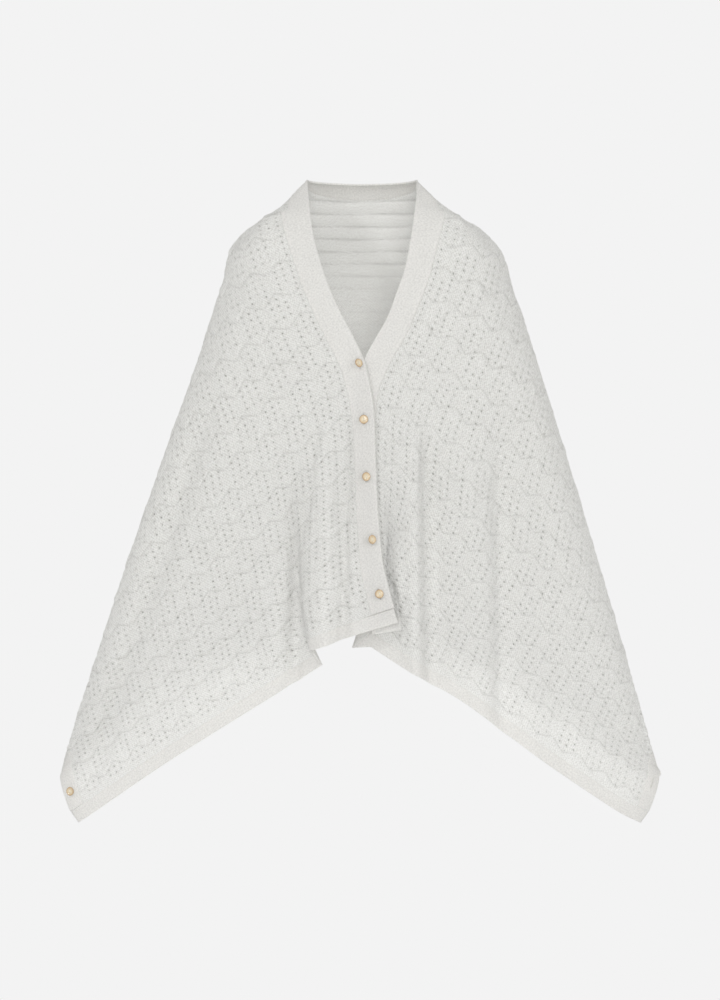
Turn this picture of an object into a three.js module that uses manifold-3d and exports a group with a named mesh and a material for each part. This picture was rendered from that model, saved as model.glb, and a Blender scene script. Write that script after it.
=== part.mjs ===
// Knitted lace wrap, buttoned down the front and worn as a poncho sweater.
// Millimetres, +Z up. The front faces -Y. Right and left are the wearer's: the right front is at -X.
//
// The cloth is one rectangle. A place on it is (s, t): s runs along the long edge, from the
// right front hem (-HALF_LENGTH) round the back of the neck (0) to the left front hem
// (+HALF_LENGTH), and t runs across the width, from the neck and front edge (0) to the outer
// edge (WIDTH). For each s a rib goes from the front edge out to the fold over the shoulder and
// arm, which lies in the plane y = 0, and from there down the back to the outer edge.

import * as THREE from "three";
import Module from "manifold-3d";

const wasm = await Module();
wasm.setup();

// Sizes of the flat cloth
const HALF_LENGTH = 830;
const WIDTH = 640;
const FRONT_BAND = 35;
const EDGE_BAND = 32;
const HEM_BAND = 22;
const SEAM = 0.5;
const HEM_SEAM = 1.5;
const FOLD_SEAM = 0.3;

// Walls
const LACE_WALL = 2;
const BAND_WALL = 2.4;
const HEM_WALL = 2.2;
const CABLE_HEIGHT = 1.8;

// Lace net: the honeycomb's rows along s and columns along t fall on the net's lines
const ROWS = 120;
const COLUMNS = 25;
const EXTRA_COLUMNS = [0.5, 3.5, 4.5];
const CELLS_A_HEXAGON = 6;

// Places along the long edge, measured from the middle of the back neck
const NECK_S = 110;
const EXTREME_S = 741;

// Back neck
const NECK_HALF_WIDTH = 82;
const NECK_DEPTH = 58;
const NECK_DIP = 1;

// The left front lies this far behind the right front
const LAP_GAP = 5.2;
const PLATEAU = 70;

// Buttons
const BUTTON_RADIUS = 6.5;
const BUTTON_THICKNESS = 2.2;
const BUTTON_RIM = 0.5;
const BUTTON_HOLE = 0.8;
const BUTTON_CLEARANCE = 0.3;
const SHANK_RADIUS = 0.65;
const CORNER = { buttonS: 779, slitS: 762, inset: 18 };
const SLIT = { length: 17, width: 2 };

// Front buttons from the top down: s down the front edge, inset from the edge
const FRONT_BUTTONS = [
  { s: 441, inset: 9 },
  { s: 520, inset: 17 },
  { s: 605, inset: 17 },
  { s: 700, inset: 13 },
  { s: 781, inset: 16 },
];

// Front edges as seen from the front. depth is how far forward of the fold plane they stand.
const RIGHT_FRONT_EDGE = [
  { x: -82, z: 0 },
  { x: -77.5, z: -47 },
  { x: -73.5, z: -79 },
  { x: -66.5, z: -110 },
  { x: -53, z: -155 },
  { x: -32, z: -205 },
  { x: -8, z: -251 },
  { x: 4.5, z: -281 },
  { x: 14, z: -325 },
  { x: 18, z: -358 },
  { x: 20, z: -422 },
  { x: 23, z: -491 },
  { x: 29, z: -561 },
  { x: 40, z: -611 },
  { x: 53.5, z: -658 },
];
const LEFT_FRONT_EDGE = [
  { x: 82, z: 0 },
  { x: 81, z: -25 },
  { x: 77.5, z: -53 },
  { x: 71, z: -97 },
  { x: 62.5, z: -140 },
  { x: 49, z: -180 },
  { x: 40, z: -205 },
  { x: 27.5, z: -230 },
  { x: 15.5, z: -250 },
  { x: 5, z: -270 },
  { x: -7, z: -300 },
  { x: -12.5, z: -345 },
  { x: -11, z: -427 },
  { x: -8, z: -500 },
  { x: -3, z: -567 },
  { x: 7, z: -615 },
  { x: 13, z: -676 },
];
const FRONT_DEPTH = [
  { z: -1000, depth: 150 },
  { z: -665, depth: 146 },
  { z: -567, depth: 142 },
  { z: -427, depth: 138 },
  { z: -355, depth: 134 },
  { z: -262, depth: 126 },
  { z: -214, depth: 118 },
  { z: -168, depth: 108 },
  { z: -126, depth: 95 },
  { z: -70, depth: 70 },
  { z: -30, depth: 34 },
  { z: 0, depth: 0 },
];

// The fold over shoulder and arm: its outline on each side, and t where each rib crosses it
const FOLD = [
  { s: 110, right: 82, left: 81, z: -1, t: 0 },
  { s: 132, right: 97, left: 96, z: -17, t: 28 },
  { s: 160, right: 125, left: 128, z: -46, t: 68 },
  { s: 195, right: 180, left: 185, z: -83, t: 118 },
  { s: 220, right: 201, left: 211, z: -113, t: 150 },
  { s: 245, right: 211, left: 225, z: -155, t: 178 },
  { s: 300, right: 236, left: 252, z: -240, t: 235 },
  { s: 400, right: 298, left: 307, z: -417, t: 355 },
  { s: 560, right: 381, left: 380, z: -661, t: 490 },
  { s: 700, right: 441, left: 434, z: -850, t: 600 },
  { s: 741, right: 452, left: 445, z: -893, t: 640 },
];

// The outer edge: across the back as far as the extreme point, then up the front to the corner
const OUTER = [
  { s: 0, x: 0, y: 122, z: -648 },
  { s: 110, x: 88, y: 118, z: -640 },
  { s: 220, x: 172, y: 108, z: -640 },
  { s: 300, x: 228, y: 94, z: -660 },
  { s: 400, x: 290, y: 74, z: -712 },
  { s: 560, x: 372, y: 48, z: -808 },
  { s: 700, x: 433, y: 17, z: -876 },
  { s: 741, x: 449, y: 0, z: -893 },
  { s: 800, x: 435, y: -12, z: -940 },
  { s: 830, x: 420, y: -16, z: -962 },
];

// How the front hem departs from a straight rib: share is the place along the rib, rise and
// back are offsets. A share that falls while t grows is a layer that turns back on itself.
const RIGHT_HEM = [
  { t: 0, share: 0, rise: 0, back: 0 },
  { t: 65, share: 0.13, rise: 22, back: 0 },
  { t: 129, share: 0.262, rise: 40, back: 2 },
  { t: 161, share: 0.228, rise: 9, back: 20 },
  { t: 230, share: 0.345, rise: 8, back: 18 },
  { t: 400, share: 0.63, rise: 9, back: 4 },
  { t: 640, share: 1, rise: 0, back: 0 },
];
const LEFT_HEM = [
  { t: 0, share: 0, rise: 0, back: 0 },
  { t: 46, share: 0.1, rise: 36, back: 3 },
  { t: 118, share: -0.066, rise: -20, back: 22 },
  { t: 190, share: 0.086, rise: -17, back: 28 },
  { t: 320, share: 0.35, rise: -4, back: 15 },
  { t: 450, share: 0.63, rise: -9, back: 3 },
  { t: 570, share: 0.88, rise: -7, back: 0 },
  { t: 640, share: 1, rise: 0, back: 0 },
];
const RIGHT_HEM_FROM = 500;
const LEFT_HEM_FROM = 560;

// Long soft folds of the fronts, each with its place at its upper and lower end.
// forward is its height towards the viewer, negative for a valley.
const FRONT_FOLDS = [
  { xTop: -58, zTop: -400, xLow: -62, zLow: -760, width: 17, forward: 9 },
  { xTop: -88, zTop: -410, xLow: -104, zLow: -790, width: 14, forward: -8 },
  { xTop: -30, zTop: -390, xLow: -18, zLow: -740, width: 12, forward: -4 },
  { xTop: -190, zTop: -420, xLow: -262, zLow: -880, width: 30, forward: 5 },
  { xTop: 68, zTop: -360, xLow: 78, zLow: -730, width: 17, forward: 7 },
  { xTop: 100, zTop: -380, xLow: 122, zLow: -760, width: 14, forward: -9 },
  { xTop: 150, zTop: -330, xLow: 178, zLow: -800, width: 20, forward: 7 },
  { xTop: 198, zTop: -260, xLow: 232, zLow: -830, width: 20, forward: -7 },
  { xTop: 285, zTop: -430, xLow: 330, zLow: -880, width: 26, forward: 5 },
  { xTop: 12, zTop: -268, xLow: 95, zLow: -190, width: 9, forward: 4 },
];

// Waves of the back's lower edge, in s: its crests stand off and its troughs fall in
const BACK_WAVES = [
  { at: -585, width: 52, forward: -15 },
  { at: -480, width: 50, forward: 24 },
  { at: -372, width: 50, forward: -26 },
  { at: -268, width: 50, forward: 27 },
  { at: -160, width: 52, forward: -27 },
  { at: -52, width: 50, forward: 26 },
  { at: 58, width: 52, forward: -24 },
  { at: 166, width: 50, forward: 28 },
  { at: 276, width: 52, forward: -27 },
  { at: 384, width: 50, forward: 25 },
  { at: 492, width: 48, forward: -22 },
  { at: 590, width: 50, forward: 14 },
];

const SMOOTH_STEPS = 48;

function clamp(v, low, high) {
  return Math.min(high, Math.max(low, v));
}

function ease(v) {
  const u = clamp(v, 0, 1);
  return u * u * (3 - 2 * u);
}

// A quarter of an ellipse: rises steeply from 0 and flattens out at 1
function quarter(v) {
  const u = 1 - clamp(v, 0, 1);
  return Math.sqrt(1 - u * u);
}

// Smooth curve through a table's column, which never overshoots between two rows
function through(rows, key, column) {
  const n = rows.length;
  const steep = [];
  for (let i = 0; i < n - 1; i++) {
    steep.push((rows[i + 1][column] - rows[i][column]) / (rows[i + 1][key] - rows[i][key]));
  }
  const slope = rows.map((row, i) => {
    if (i === 0) return steep[0];
    if (i === n - 1) return steep[n - 2];
    const product = steep[i - 1] * steep[i];
    return product <= 0 ? 0 : (2 * product) / (steep[i - 1] + steep[i]);
  });
  return (at) => {
    const x = clamp(at, rows[0][key], rows[n - 1][key]);
    let i = 0;
    while (i < n - 2 && x > rows[i + 1][key]) i++;
    const h = rows[i + 1][key] - rows[i][key];
    const u = (x - rows[i][key]) / h;
    const a = rows[i][column];
    const b = rows[i + 1][column];
    const v = 1 - u;
    return (
      v * v * (1 + 2 * u) * a +
      u * u * (1 + 2 * v) * b +
      h * u * v * v * slope[i] -
      h * u * u * v * slope[i + 1]
    );
  };
}

// The same curve for several columns at once
function curves(rows, key, columns) {
  const each = columns.map((column) => through(rows, key, column));
  return (at) => {
    const out = {};
    columns.forEach((column, i) => {
      out[column] = each[i](at);
    });
    return out;
  };
}

const frontDepth = through(FRONT_DEPTH, "z", "depth");
const fold = curves(FOLD, "s", ["right", "left", "z", "t"]);
const outer = curves(OUTER, "s", ["x", "y", "z"]);
const rightHem = curves(RIGHT_HEM, "t", ["share", "rise", "back"]);
const leftHem = curves(LEFT_HEM, "t", ["share", "rise", "back"]);

// Points at even distances along a line of points: place(u) for u from 0 to 1
function evenly(points) {
  const along = [0];
  for (let i = 1; i < points.length; i++) {
    along.push(along[i - 1] + points[i].distanceTo(points[i - 1]));
  }
  const total = along[along.length - 1];
  return (u) => {
    const want = clamp(u, 0, 1) * total;
    let i = 1;
    while (i < along.length - 1 && along[i] < want) i++;
    const step = along[i] - along[i - 1];
    const part = step > 1e-9 ? (want - along[i - 1]) / step : 0;
    return points[i - 1].clone().lerp(points[i], part);
  };
}

// One front edge as a curve by share of its length from the neck point to the hem
function frontEdge(rows) {
  const down = rows.map((row) => ({ drop: -row.z, x: row.x }));
  const across = through(down, "drop", "x");
  const bottom = down[down.length - 1].drop;
  const points = [];
  for (let i = 0; i <= 200; i++) {
    const drop = (bottom * i) / 200;
    points.push(new THREE.Vector3(across(drop), -frontDepth(-drop), -drop));
  }
  return evenly(points);
}

const rightEdge = frontEdge(RIGHT_FRONT_EDGE);
const leftEdge = frontEdge(LEFT_FRONT_EDGE);

// The back of the neck, from its middle to the neck point at +X
const neckLine = [];
for (let i = 0; i <= 60; i++) {
  const turn = (i / 60) * (Math.PI / 2);
  neckLine.push(
    new THREE.Vector3(
      NECK_HALF_WIDTH * Math.sin(turn),
      NECK_DEPTH * Math.cos(turn),
      -NECK_DIP * Math.cos(turn) ** 2,
    ),
  );
}
const neck = evenly(neckLine);

// Depth of the front at a place: it turns in round the arm at the fold, and lies level near
// the front edge so that the two fronts lap without touching
function frontY(z, fromFold, fromEdge, length, s) {
  const full = frontDepth(z);
  const radius = Math.min(70, 0.62 * length);
  const atArm = Math.min(46, 0.62 * full) * (1 - 0.75 * ease((s - 600) / 180));
  const far = Math.max(length - PLATEAU, 1);
  const share = 1 - clamp((fromEdge - PLATEAU) / far, 0, 1) ** 1.15;
  return -(atArm * quarter(fromFold / radius) + (full - atArm) * share);
}

// One rib as two curves by t, before the folds are added
function ribAt(s) {
  const side = s < 0 ? -1 : 1;
  const a = Math.abs(s);
  const right = side < 0;
  const over = outer(a);
  const end = new THREE.Vector3(side * over.x, over.y, over.z);
  let top;
  let tFold;
  let front = null;
  if (a <= NECK_S) {
    top = neck(a / NECK_S);
    top.x *= side;
    tFold = 0;
  } else {
    const edge = right ? rightEdge : leftEdge;
    const start = edge((a - NECK_S) / (HALF_LENGTH - NECK_S));
    const f = fold(Math.min(a, EXTREME_S));
    top = new THREE.Vector3(right ? -f.right : f.left, 0, f.z);
    tFold = f.t;
    if (a > EXTREME_S) {
      top = end.clone();
      top.x += side * ((right ? f.right : f.left) - 449);
      tFold = WIDTH;
    }
    const length = Math.hypot(top.x - start.x, top.z - start.z);
    const hemFrom = right ? RIGHT_HEM_FROM : LEFT_HEM_FROM;
    const bend = clamp((a - hemFrom) / (HALF_LENGTH - hemFrom), 0, 1) ** 1.3;
    const lap = right ? 0 : LAP_GAP * ease((-start.z - 60) / 120);
    front = (share) => {
      const x = start.x + (top.x - start.x) * share;
      const z = start.z + (top.z - start.z) * share;
      const fromFold = (1 - share) * length;
      let y = frontY(z, fromFold, share * length, length, a);
      y += top.y * share + lap * ease(1 - share * 1.6);
      return new THREE.Vector3(x, y, z);
    };
    const line = [];
    for (let i = 0; i <= SMOOTH_STEPS; i++) line.push(front(1 - (1 - i / SMOOTH_STEPS) ** 1.6));
    const even = evenly(line);
    const hem = right ? rightHem : leftHem;
    front.at = (t) => {
      const plain = t / Math.max(tFold, 1e-6);
      if (bend <= 0) return even(plain);
      const bent = hem(t);
      const share = plain + (bent.share - plain) * bend;
      const place = share < 0 ? even(0) : even(share);
      if (share < 0) place.x += share * (top.x - start.x);
      place.z += bent.rise * bend;
      place.y += bent.back * bend;
      return place;
    };
  }
  // Down the back: out from the shoulder as a quarter ellipse, then straight
  const back = [];
  const drop = 60 + 80 * ease((420 - a) / 250);
  const run = Math.hypot(end.x - top.x, end.z - top.z);
  for (let i = 0; i <= SMOOTH_STEPS; i++) {
    const share = (i / SMOOTH_STEPS) ** 1.6;
    const out = quarter((share * run) / Math.min(drop, Math.max(run, 1)));
    back.push(
      new THREE.Vector3(
        top.x + (end.x - top.x) * share,
        top.y + (end.y - top.y) * (0.82 * out + 0.18 * share),
        top.z + (end.z - top.z) * share,
      ),
    );
  }
  return { front, back: evenly(back), tFold, a, side };
}

const ribs = new Map();

function rib(s) {
  const key = Math.round(s * 1000);
  if (!ribs.has(key)) ribs.set(key, ribAt(s));
  return ribs.get(key);
}

// Forward offset of the long soft folds at a place on the front
function frontFolds(x, z) {
  let sum = 0;
  for (const f of FRONT_FOLDS) {
    const along = new THREE.Vector2(f.xLow - f.xTop, f.zLow - f.zTop);
    const from = new THREE.Vector2(x - f.xTop, z - f.zTop);
    const u = from.dot(along) / along.lengthSq();
    const off = Math.abs(from.cross(along)) / along.length();
    const fade = ease(u / 0.25) * ease((1.12 - u) / 0.2);
    sum += f.forward * fade * Math.exp(-((off / f.width) ** 2));
  }
  return sum;
}

// Offset of the back's waves, which grow from the shoulder blades to the outer edge
function backWaves(s, t, fromFold) {
  let sum = 0;
  for (const w of BACK_WAVES) {
    sum += w.forward * Math.exp(-(((s - w.at) / w.width) ** 2));
  }
  return sum * ease((t - 170) / 430) * ease(fromFold / 110);
}

// The middle of the cloth at (s, t)
function cloth(s, t) {
  const r = rib(s);
  if (r.front && t < r.tFold) {
    const p = r.front.at(t);
    const room = ease((r.tFold - t) / 90) * ease((t - 40) / 40);
    p.y -= frontFolds(p.x, p.z) * room;
    return p;
  }
  const left = Math.max(WIDTH - r.tFold, 1e-6);
  const p = r.back((t - r.tFold) / left);
  p.y += backWaves(s, t, t - r.tFold);
  return p;
}

// Outward normal of the cloth at (s, t), by differences over a small step
function normal(s, t) {
  const step = 3;
  const ds = cloth(Math.min(s + step, HALF_LENGTH), t);
  ds.sub(cloth(Math.max(s - step, -HALF_LENGTH), t));
  const dt = cloth(s, Math.min(t + step, WIDTH));
  dt.sub(cloth(s, Math.max(t - step, 0)));
  return ds.cross(dt).normalize();
}

function offset(s, t, distance) {
  return cloth(s, t).addScaledVector(normal(s, t), distance);
}

// A wall from two nets of points. Inside, the net has every second line along s, and all of
// them only on its two long edges.
function wall(sLines, tLines, outerPoint, innerPoint) {
  const ns = sLines.length - 1;
  const nt = tLines.length - 1;
  const positions = [];
  const index = [];
  const put = (p) => positions.push(p.x, p.y, p.z) / 3 - 1;
  const onInside = (i, j) => i % 2 === 0 || j === 0 || j === nt;
  const out = sLines.map((s, i) => tLines.map((t, j) => put(outerPoint(s, t, i, j))));
  const inner = sLines.map((s, i) =>
    tLines.map((t, j) => (onInside(i, j) ? put(innerPoint(s, t, i, j)) : null)),
  );
  const face = (...corners) => index.push(...corners);
  const quad = (a, b, c, d, turned) => {
    if (turned) face(a, b, d, b, c, d);
    else face(a, b, c, a, c, d);
  };
  for (let i = 0; i < ns; i++) {
    for (let j = 0; j < nt; j++) {
      quad(out[i][j], out[i + 1][j], out[i + 1][j + 1], out[i][j + 1], (i + j) % 2 === 0);
    }
    quad(out[i][0], inner[i][0], inner[i + 1][0], out[i + 1][0], false);
    quad(inner[i][nt], out[i][nt], out[i + 1][nt], inner[i + 1][nt], true);
  }
  for (let i = 0; i < ns; i += 2) {
    for (let j = 0; j < nt; j++) {
      const [a, b, c] = [inner[i][j], inner[i + 1][j], inner[i + 2][j]];
      const [d, e, f] = [inner[i][j + 1], inner[i + 1][j + 1], inner[i + 2][j + 1]];
      if (j === 0) face(a, d, b, b, d, f, b, f, c);
      else if (j === nt - 1) face(a, e, c, c, e, f, a, d, e);
      else quad(a, d, f, c, false);
    }
  }
  for (let j = 0; j < nt; j++) {
    quad(inner[0][j], out[0][j], out[0][j + 1], inner[0][j + 1], false);
    quad(out[ns][j], inner[ns][j], inner[ns][j + 1], out[ns][j + 1], true);
  }
  return new wasm.Manifold(
    new wasm.Mesh({
      numProp: 3,
      vertProperties: new Float32Array(positions),
      triVerts: new Uint32Array(index),
    }),
  );
}

function lines(from, to, cells) {
  return Array.from({ length: cells + 1 }, (_, i) => from + ((to - from) * i) / cells);
}

// Honeycomb: along every column three points lie low, inside a hexagon, and three stand on the
// cable round it, and the next column is half a repeat further on
function onCable(row, column) {
  const half = CELLS_A_HEXAGON / 2;
  const shift = column % 2 ? half : 0;
  const phase = (row + 1 + shift + CELLS_A_HEXAGON * 100) % CELLS_A_HEXAGON;
  return phase >= half;
}

const half = SEAM / 2;
const laceEnd = HALF_LENGTH - HEM_BAND - HEM_SEAM / 2;
const laceRows = lines(-laceEnd, laceEnd, ROWS);
const laceFrom = FRONT_BAND + half;
const laceTo = WIDTH - EDGE_BAND - half;
const pitch = (laceTo - laceFrom) / COLUMNS;
const laceColumns = [...lines(0, COLUMNS, COLUMNS), ...EXTRA_COLUMNS]
  .sort((a, b) => a - b)
  .map((column) => laceFrom + pitch * column);

function laceOuter(s, t, i) {
  const column = (t - laceFrom) / pitch;
  const whole = Math.abs(column - Math.round(column)) < 0.01;
  const rowFromMiddle = i - ROWS / 2;
  const high = whole
    ? onCable(rowFromMiddle, Math.round(column))
    : onCable(rowFromMiddle, Math.floor(column)) && onCable(rowFromMiddle, Math.ceil(column));
  const atRim = t < laceFrom + 1 || t > laceTo - 1 || i === 0 || i === ROWS;
  return offset(s, t, LACE_WALL / 2 + (high && !atRim ? CABLE_HEIGHT : 0));
}

const lace = wall(laceRows, laceColumns, laceOuter, (s, t) => offset(s, t, -LACE_WALL / 2));

function bandWall(sLines, tLines, thickness) {
  return wall(
    sLines,
    tLines,
    (s, t) => offset(s, t, thickness / 2),
    (s, t) => offset(s, t, -thickness / 2),
  );
}

const frontColumns = lines(0, FRONT_BAND - half, 2);
const edgeColumns = lines(WIDTH - EDGE_BAND + half, WIDTH, 2);
const frontBand = bandWall(laceRows, frontColumns, BAND_WALL);
const edgeBand = bandWall(laceRows, edgeColumns, BAND_WALL);
const hemColumns = [
  ...frontColumns.slice(0, -1),
  FRONT_BAND,
  ...laceColumns.slice(1, -1),
  WIDTH - EDGE_BAND,
  ...edgeColumns.slice(1),
];
const hemFrom = HALF_LENGTH - HEM_BAND + HEM_SEAM / 2;
const rightHemBand = bandWall(lines(-HALF_LENGTH, -hemFrom, 2), hemColumns, HEM_WALL);
const leftHemBand = bandWall(lines(hemFrom, HALF_LENGTH, 2), hemColumns, HEM_WALL);

// A frame on the cloth: its z points out, its x runs along +s
function frameAt(s, t, distance) {
  const out = normal(s, t);
  const along = cloth(s + 4, t).sub(cloth(s - 4, t)).normalize();
  const across = out.clone().cross(along).normalize();
  along.copy(across).cross(out).normalize();
  const matrix = new THREE.Matrix4().makeBasis(along, across, out);
  matrix.setPosition(offset(s, t, distance));
  return matrix;
}

// A buttonhole: a thin slit through the band, along s
function slit(s, t) {
  const box = wasm.Manifold.cube([SLIT.length, SLIT.width, 9], true);
  return box.transform(frameAt(s, t, 0).elements);
}

// A shell button: dished face inside a rounded rim, and two holes
function buttonShape() {
  const r = BUTTON_RADIUS;
  const h = BUTTON_THICKNESS;
  const profile = [
    [0, 0],
    [r - 1, 0],
    [r, h * 0.5],
    [r - 0.7, h],
    [r - 1.5, h],
    [r - 2.3, h - BUTTON_RIM],
    [0, h - BUTTON_RIM - 0.2],
  ];
  const disc = wasm.Manifold.revolve([profile], 16);
  const hole = wasm.Manifold.cylinder(h * 3, BUTTON_HOLE, BUTTON_HOLE, 5, true);
  return disc.subtract(hole.translate([1.5, 0, 0])).subtract(hole.translate([-1.5, 0, 0]));
}

// The thread that holds a button: a short post under it, down to the band it is sewn to
function shank(length) {
  return wasm.Manifold.cylinder(length, SHANK_RADIUS, SHANK_RADIUS, 6).translate([0, 0, -length]);
}

let frontBandCut = frontBand;
for (const button of FRONT_BUTTONS) {
  frontBandCut = frontBandCut.subtract(slit(-button.s, button.inset));
}
const cornerT = WIDTH - CORNER.inset;
const edgeBandCut = edgeBand.subtract(slit(CORNER.slitS, cornerT));

// The blade parts the cloth along the fold, into its back and its two fronts
const blade = wasm.Manifold.cube([1400, FOLD_SEAM, 1400], true).translate([0, 0, -500]);

function parted(solid) {
  const pieces = solid.subtract(blade).decompose();
  const middle = (piece) => {
    const box = piece.boundingBox();
    return { x: (box.min[0] + box.max[0]) / 2, y: (box.min[1] + box.max[1]) / 2 };
  };
  const large = pieces.sort((a, b) => b.volume() - a.volume()).slice(0, 3);
  const back = large.find((piece) => middle(piece).y > 0);
  const right = large.find((piece) => middle(piece).y < 0 && middle(piece).x < 0);
  const left = large.find((piece) => middle(piece).y < 0 && middle(piece).x > 0);
  return { back, right, left };
}

const laceParts = parted(lace);
const frontBandParts = parted(frontBandCut);
const edgeBandParts = parted(edgeBandCut);

// Materials
const WOOL = new THREE.Color(0xdcdcd9);
const SHELL = new THREE.Color(0xcdbf9f);

function knit(shade) {
  const color = WOOL.clone().multiplyScalar(shade);
  return new THREE.MeshStandardMaterial({ color, roughness: 0.92, metalness: 0 });
}

function shell() {
  return new THREE.MeshStandardMaterial({ color: SHELL, roughness: 0.3, metalness: 0 });
}

const poncho = new THREE.Group();
poncho.name = "poncho";

function add(name, solid, material) {
  const mesh = solid.getMesh();
  const geometry = new THREE.BufferGeometry();
  const positions = new Float32Array(mesh.vertProperties);
  geometry.setAttribute("position", new THREE.BufferAttribute(positions, 3));
  geometry.setIndex(new THREE.BufferAttribute(new Uint32Array(mesh.triVerts), 1));
  geometry.computeVertexNormals();
  const node = new THREE.Mesh(geometry, material);
  node.name = name;
  poncho.add(node);
}

add("back_panel", laceParts.back, knit(1));
add("front_panel_right", laceParts.right, knit(1));
add("front_panel_left", laceParts.left, knit(1));
add("neck_band", frontBandParts.back, knit(0.98));
add("front_band_right", frontBandParts.right, knit(0.98));
add("front_band_left", frontBandParts.left, knit(0.98));
add("edge_band_back", edgeBandParts.back, knit(0.98));
add("edge_band_right", edgeBandParts.right, knit(0.98));
add("edge_band_left", edgeBandParts.left, knit(0.98));
add("hem_band_right", rightHemBand, knit(0.98));
add("hem_band_left", leftHemBand, knit(0.98));

// Front buttons stand on the right front band; their threads go through its buttonholes
FRONT_BUTTONS.forEach((button, i) => {
  const base = BAND_WALL / 2 + BUTTON_CLEARANCE;
  const reach = base + BAND_WALL / 2 + 0.6;
  const solid = buttonShape().add(shank(reach)).transform(
    frameAt(-button.s, button.inset, base).elements,
  );
  add(`button_${i + 1}`, solid, shell());
});

const cornerBase = BAND_WALL / 2 + BUTTON_CLEARANCE;
add(
  "corner_button",
  buttonShape().transform(frameAt(-CORNER.buttonS, cornerT, cornerBase).elements),
  shell(),
);

export default poncho;
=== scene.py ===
"""Looks of the knitted lace poncho sweater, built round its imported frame.

The cloth is one surface P(s, t). s runs along the long edge of the flat cloth, from the right
front hem round the back of the neck to the left front hem, and t across its width, from the
neck and front edge to the outer edge. For each s a rib goes from the front edge out to the fold
over shoulder and arm and down the back. The ribs are worked out in millimetres on a fine net,
and every piece of knitting is laid on that net: a place on it plus a height along its normal.
Right and left are the wearer's, so the right front is at -X.
"""

import math

import bmesh
import bpy
import numpy as np
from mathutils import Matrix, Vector


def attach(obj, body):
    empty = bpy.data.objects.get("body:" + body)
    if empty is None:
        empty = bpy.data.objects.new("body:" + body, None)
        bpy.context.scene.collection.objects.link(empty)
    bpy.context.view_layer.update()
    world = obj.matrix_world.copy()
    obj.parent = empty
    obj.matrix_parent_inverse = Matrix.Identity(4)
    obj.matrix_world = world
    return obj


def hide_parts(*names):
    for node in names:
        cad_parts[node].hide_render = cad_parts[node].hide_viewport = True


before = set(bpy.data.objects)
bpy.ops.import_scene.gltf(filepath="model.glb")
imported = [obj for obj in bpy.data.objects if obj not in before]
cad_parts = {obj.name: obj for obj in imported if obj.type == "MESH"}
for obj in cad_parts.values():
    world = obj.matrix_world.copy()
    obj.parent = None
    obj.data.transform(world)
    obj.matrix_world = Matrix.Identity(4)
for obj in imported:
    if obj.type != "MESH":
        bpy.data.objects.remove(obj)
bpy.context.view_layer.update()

MM = 0.001

# Sizes of the flat cloth and its bands, in millimetres
HALF_LENGTH = 830.0
WIDTH = 640.0
FRONT_BAND = 35.0
EDGE_BAND = 32.0
HEM_BAND = 22.0
BAND_WALL = 2.4
HEM_WALL = 2.2

# Places along the long edge, from the middle of the back neck
NECK_S = 110.0
EXTREME_S = 741.0
NECK_HALF_WIDTH = 82.0
NECK_DEPTH = 58.0
NECK_DIP = 1.0

# The left front lies behind the right front by this much
LAP_GAP = 5.2
PLATEAU = 70.0

# The net that all pieces are laid on
NET_STEP = 2.5
RIB_STEPS = 48

# Lace: a honeycomb of knitted ridges, with eyelets in between
HEX_PITCH = 573.0 / 12.5
HEX_ROW = 1616.0 / 40.0
EYELETS_ACROSS = 50
EYELETS_ALONG = 180
HOLE_RADIUS = 1.5
HOLE_DEPTH = 2.3

# Small meshes of the yarn between the eyelets, in metres
MESH_ACROSS = 573.0 / 50 / 3 * MM
MESH_ALONG = 1616.0 / 180 / 2 * MM

# Where the honeycomb starts, and how far the plain welts behind the neck reach
PHASE_S = 7.0
PHASE_T = 7.0
WELT_PITCH = 18.6
WELT_TOP = 24.5
WELT_S = 116.0
WELT_T = 282.0

# Front buttons from the top down: place down the front edge, inset from the edge, and how far
# each stands turned about the line of the edge, in degrees
FRONT_BUTTONS = [(441, 9, 38), (520, 17, 6), (605, 17, 24), (700, 13, 32), (781, 16, 16)]
CORNER_BUTTON_S = 779.0
CORNER_SLIT_S = 762.0
CORNER_INSET = 18.0
BUTTON_RADIUS = 6.5
BUTTON_THICKNESS = 2.2
SLIT_LENGTH = 17.0
THREAD_RADIUS = 0.42

# Front edges seen from the front, from the neck point down
RIGHT_EDGE_X = [-82, -77.5, -73.5, -66.5, -53, -32, -8, 4.5, 14, 18, 20, 23, 29, 40, 53.5]
RIGHT_EDGE_DROP = [0, 47, 79, 110, 155, 205, 251, 281, 325, 358, 422, 491, 561, 611, 658]
LEFT_EDGE_X = [82, 81, 77.5, 71, 62.5, 49, 40, 27.5, 15.5, 5, -7, -12.5, -11, -8, -3, 7, 13]
LEFT_EDGE_DROP = [0, 25, 53, 97, 140, 180, 205, 230, 250, 270, 300, 345, 427, 500, 567, 615, 676]
DEPTH_DROP = [0, 30, 70, 126, 168, 214, 262, 355, 427, 567, 665, 1000]
DEPTH = [0, 34, 70, 95, 108, 118, 126, 134, 138, 142, 146, 150]

# The fold over shoulder and arm, by s
FOLD_S = [110, 132, 160, 195, 220, 245, 300, 400, 560, 700, 741]
FOLD_RIGHT = [82, 97, 125, 180, 201, 211, 236, 298, 381, 441, 452]
FOLD_LEFT = [81, 96, 128, 185, 211, 225, 252, 307, 380, 434, 445]
FOLD_Z = [-1, -17, -46, -83, -113, -155, -240, -417, -661, -850, -893]
FOLD_T = [0, 28, 68, 118, 150, 178, 235, 355, 490, 600, 640]

# The outer edge, by s: over the back to the extreme point, then up the front to the corner
OUTER_S = [0, 110, 220, 300, 400, 560, 700, 741, 800, 830]
OUTER_X = [0, 88, 172, 228, 290, 372, 433, 449, 435, 420]
OUTER_Y = [122, 118, 108, 94, 74, 48, 17, 0, -12, -16]
OUTER_Z = [-648, -640, -640, -660, -712, -808, -876, -893, -940, -962]

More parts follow.
